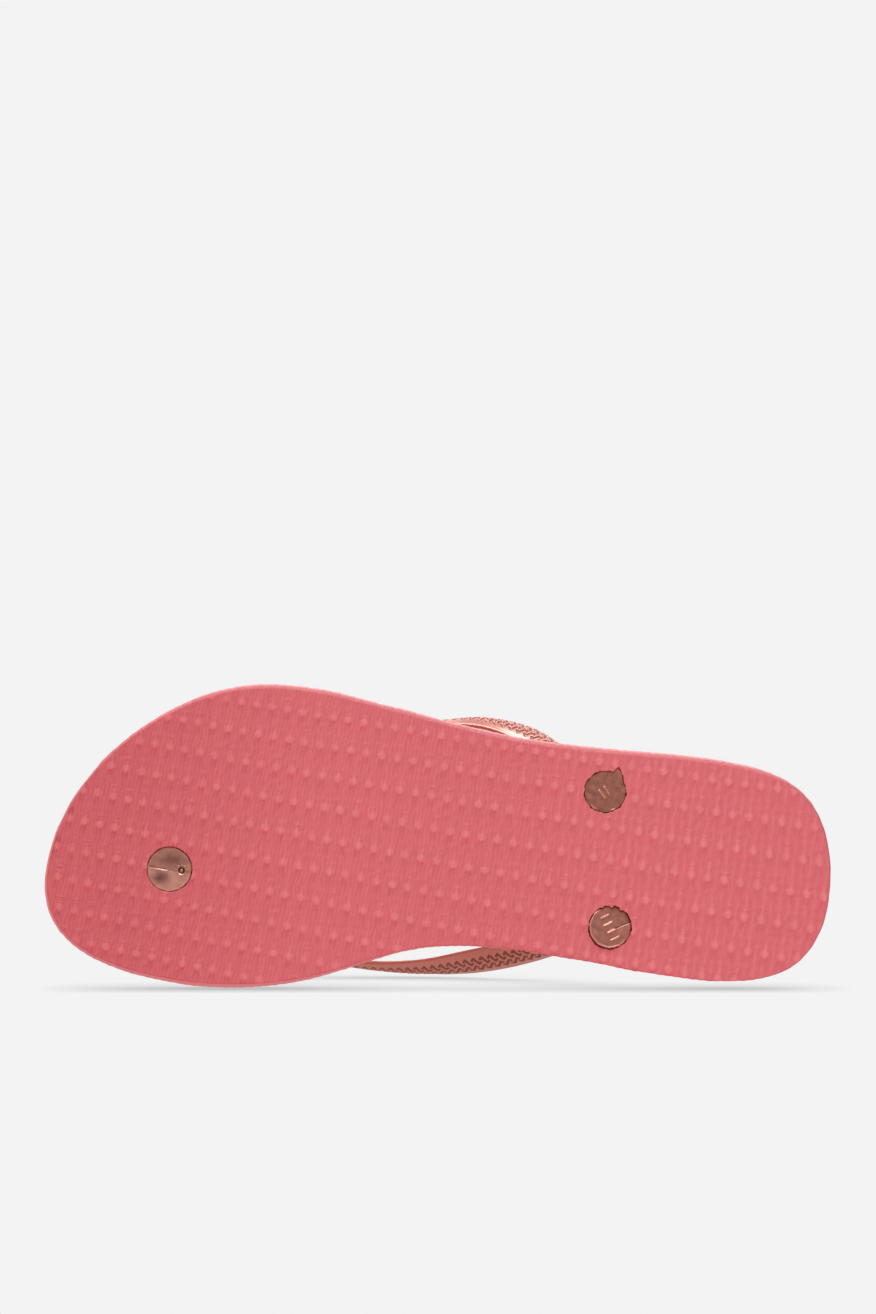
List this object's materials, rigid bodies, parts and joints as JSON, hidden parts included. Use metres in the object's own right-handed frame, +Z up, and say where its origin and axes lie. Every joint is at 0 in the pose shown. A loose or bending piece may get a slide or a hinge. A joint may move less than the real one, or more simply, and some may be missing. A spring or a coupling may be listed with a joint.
{
  "type": "flip flop",
  "caption": "Left thong sandal: a flat two-layer rubber sole with a moulded Y-shaped strap held by three plugs.",
  "frame": {"origin": "middle of the footprint's bounding box, on the ground", "axes": "+Z up from the ground face, +Y towards the heel, +X towards the lateral (little toe) side of this left shoe"},
  "size_m": [0.1026, 0.2641, 0.0504],
  "materials": {
    "outsole_rubber": "matte coral rubber with moulded ribs and small raised dots",
    "footbed_rubber": "matte coral rubber with a fine moulded grain",
    "plug_pvc": "bare brown moulded vinyl, glossy in places",
    "strap_pvc": "rose gold metallic vinyl, satin, with a raised stepped pattern"
  },
  "bodies": {
    "sole": {"outsole": "outsole_rubber", "footbed": "footbed_rubber"},
    "strap": {"strap": "strap_pvc", "toe_plug": "plug_pvc", "lateral_plug": "plug_pvc", "medial_plug": "plug_pvc"}
  },
  "joints": [
    {"name": "strap_seat", "type": "slide", "parent": "sole", "child": "strap", "axis": [0, 0, -1], "range_m": [0, 0.0012]}
  ]
}
